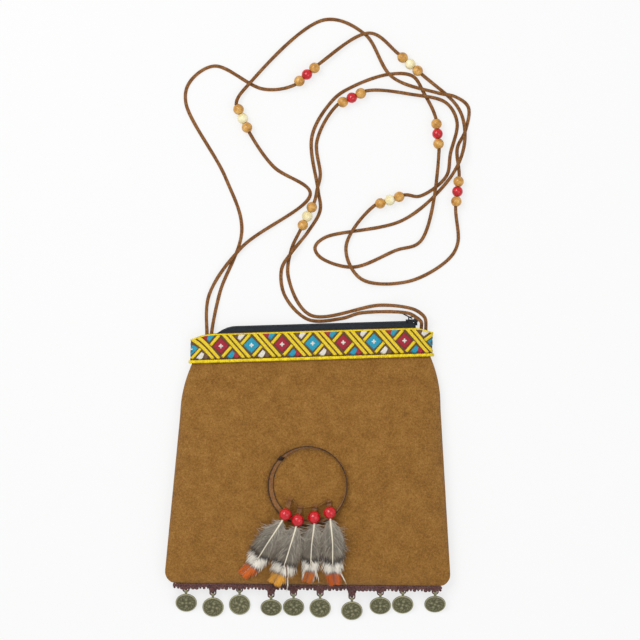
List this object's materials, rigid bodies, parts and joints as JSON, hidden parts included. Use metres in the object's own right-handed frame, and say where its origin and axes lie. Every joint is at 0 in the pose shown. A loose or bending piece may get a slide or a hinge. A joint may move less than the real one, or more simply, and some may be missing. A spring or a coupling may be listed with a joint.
{
  "type": "shoulder bag",
  "caption": "Small suede shoulder bag with a zipped mouth, woven ribbon border, feathered hoop, coin fringe and a beaded lace strap.",
  "frame": {"origin": "on the flat of the back panel that the bag rests on", "axes": "+X across the bag to the zip slider's closed end, +Y up the bag to its mouth, +Z out of its front"},
  "size_m": [0.2286, 0.4522, 0.0322],
  "materials": {
    "suede": "brushed nap",
    "ribbon": "woven jacquard",
    "zip_tape": "woven",
    "zip_coil": "satin",
    "zip_metal": "gloss black",
    "crochet": "twisted thread",
    "coin": "antique",
    "lace": "suede",
    "red_bead": "gloss",
    "cream_bead": "gloss",
    "wood_bead": "lacquered",
    "feather": "soft"
  },
  "bodies": {
    "bag": {"front_panel": "suede", "back_panel": "suede", "ribbon_band": "ribbon", "zip_tape_front": "zip_tape", "zip_tape_back": "zip_tape", "zip_chain_front": "zip_coil", "zip_chain_back": "zip_coil", "crochet_trim": "crochet", "hoop_band": "lace", "hang_thread": "lace", "strap_lace_a": "lace", "strap_lace_b": "lace", "bead_a1_1": "wood_bead", "bead_a1_2": "red_bead", "bead_a1_3": "wood_bead", "bead_a2_1": "wood_bead", "bead_a2_2": "cream_bead", "bead_a2_3": "wood_bead", "bead_a3_1": "wood_bead", "bead_a3_2": "red_bead", "bead_a3_3": "wood_bead", "bead_b1_1": "wood_bead", "bead_b1_2": "cream_bead", "bead_b1_3": "wood_bead", "bead_b2_1": "wood_bead", "bead_b2_2": "red_bead", "bead_b2_3": "wood_bead", "bead_b3_1": "wood_bead", "bead_b3_2": "cream_bead", "bead_b3_3": "wood_bead", "bead_b4_1": "wood_bead", "bead_b4_2": "red_bead", "bead_b4_3": "wood_bead", "bead_b5_1": "wood_bead", "bead_b5_2": "cream_bead", "bead_b5_3": "wood_bead"},
    "slider": {"zip_slider": "zip_metal"},
    "pull": {"zip_pull": "zip_metal"},
    "coin_1_body": {"coin_1": "coin"},
    "coin_2_body": {"coin_2": "coin"},
    "coin_3_body": {"coin_3": "coin"},
    "coin_4_body": {"coin_4": "coin"},
    "coin_5_body": {"coin_5": "coin"},
    "coin_6_body": {"coin_6": "coin"},
    "coin_7_body": {"coin_7": "coin"},
    "coin_8_body": {"coin_8": "coin"},
    "coin_9_body": {"coin_9": "coin"},
    "coin_10_body": {"coin_10": "coin"},
    "pendant_1": {"feather_loop_1": "lace", "feather_bead_1": "red_bead", "feather_1": "feather"},
    "pendant_2": {"feather_loop_2": "lace", "feather_bead_2": "red_bead", "feather_2": "feather"},
    "pendant_3": {"feather_loop_3": "lace", "feather_bead_3": "red_bead", "feather_3": "feather"},
    "pendant_4": {"feather_loop_4": "lace", "feather_bead_4": "red_bead", "feather_4": "feather"}
  },
  "joints": [
    {"name": "zip_slide", "type": "slide", "parent": "bag", "child": "slider", "axis": [0.9996, 0.0297, 0], "range_m": [-0.125, 0], "deforming": ["zip_chain_front", "zip_chain_back", "strap_lace_a"]},
    {"name": "pull_swing", "type": "hinge", "parent": "slider", "child": "pull", "pos_m": [0.07816, 0.10473, 0.00515], "axis": [0, 0, 1], "range_deg": [-147, 26]},
    {"name": "coin_1_swing", "type": "hinge", "parent": "bag", "child": "coin_1_body", "pos_m": [-0.0909, -0.0994, 0.00982], "axis": [1, 0, 0], "range_deg": [-100, 55]},
    {"name": "coin_2_swing", "type": "hinge", "parent": "bag", "child": "coin_2_body", "pos_m": [-0.0708, -0.1021, 0.00754], "axis": [1, 0, 0], "range_deg": [-92, 63]},
    {"name": "coin_3_swing", "type": "hinge", "parent": "bag", "child": "coin_3_body", "pos_m": [-0.0509, -0.0999, 0.00511], "axis": [1, 0, 0], "range_deg": [-84, 71]},
    {"name": "coin_4_swing", "type": "hinge", "parent": "bag", "child": "coin_4_body", "pos_m": [-0.0272, -0.1036, 0.01141], "axis": [1, 0, 0], "range_deg": [-106, 49]},
    {"name": "coin_5_swing", "type": "hinge", "parent": "bag", "child": "coin_5_body", "pos_m": [-0.0104, -0.1026, 0.00982], "axis": [1, 0, 0], "range_deg": [-100, 55]},
    {"name": "coin_6_swing", "type": "hinge", "parent": "bag", "child": "coin_6_body", "pos_m": [0.0095, -0.1028, 0.00754], "axis": [1, 0, 0], "range_deg": [-92, 63]},
    {"name": "coin_7_swing", "type": "hinge", "parent": "bag", "child": "coin_7_body", "pos_m": [0.0333, -0.1051, 0.0087], "axis": [1, 0, 0], "range_deg": [-96, 59]},
    {"name": "coin_8_swing", "type": "hinge", "parent": "bag", "child": "coin_8_body", "pos_m": [0.0546, -0.1019, 0.01063], "axis": [1, 0, 0], "range_deg": [-103, 52]},
    {"name": "coin_9_swing", "type": "hinge", "parent": "bag", "child": "coin_9_body", "pos_m": [0.0714, -0.1008, 0.00982], "axis": [1, 0, 0], "range_deg": [-100, 55]},
    {"name": "coin_10_swing", "type": "hinge", "parent": "bag", "child": "coin_10_body", "pos_m": [0.0956, -0.101, 0.01141], "axis": [1, 0, 0], "range_deg": [-106, 49]},
    {"name": "pendant_1_lift", "type": "hinge", "parent": "bag", "child": "pendant_1", "pos_m": [-0.0129, -0.0299, 0.02171], "axis": [-0.9569, 0.2905, 0], "range_deg": [0, 75], "deforming": ["feather_1", "feather_2", "feather_3", "feather_4"]},
    {"name": "pendant_2_lift", "type": "hinge", "parent": "bag", "child": "pendant_2", "pos_m": [-0.0054, -0.0359, 0.02157], "axis": [-0.9806, 0.1961, 0], "range_deg": [0, 75], "deforming": ["feather_1", "feather_2", "feather_3", "feather_4"]},
    {"name": "pendant_3_lift", "type": "hinge", "parent": "bag", "child": "pendant_3", "pos_m": [0.0057, -0.0354, 0.02159], "axis": [-0.9961, 0.0883, 0], "range_deg": [0, 75], "deforming": ["feather_1", "feather_2", "feather_3", "feather_4"]},
    {"name": "pendant_4_lift", "type": "hinge", "parent": "bag", "child": "pendant_4", "pos_m": [0.0159, -0.0317, 0.02166], "axis": [-0.995, -0.0995, 0], "range_deg": [0, 75], "deforming": ["feather_1", "feather_2", "feather_3", "feather_4"]}
  ]
}
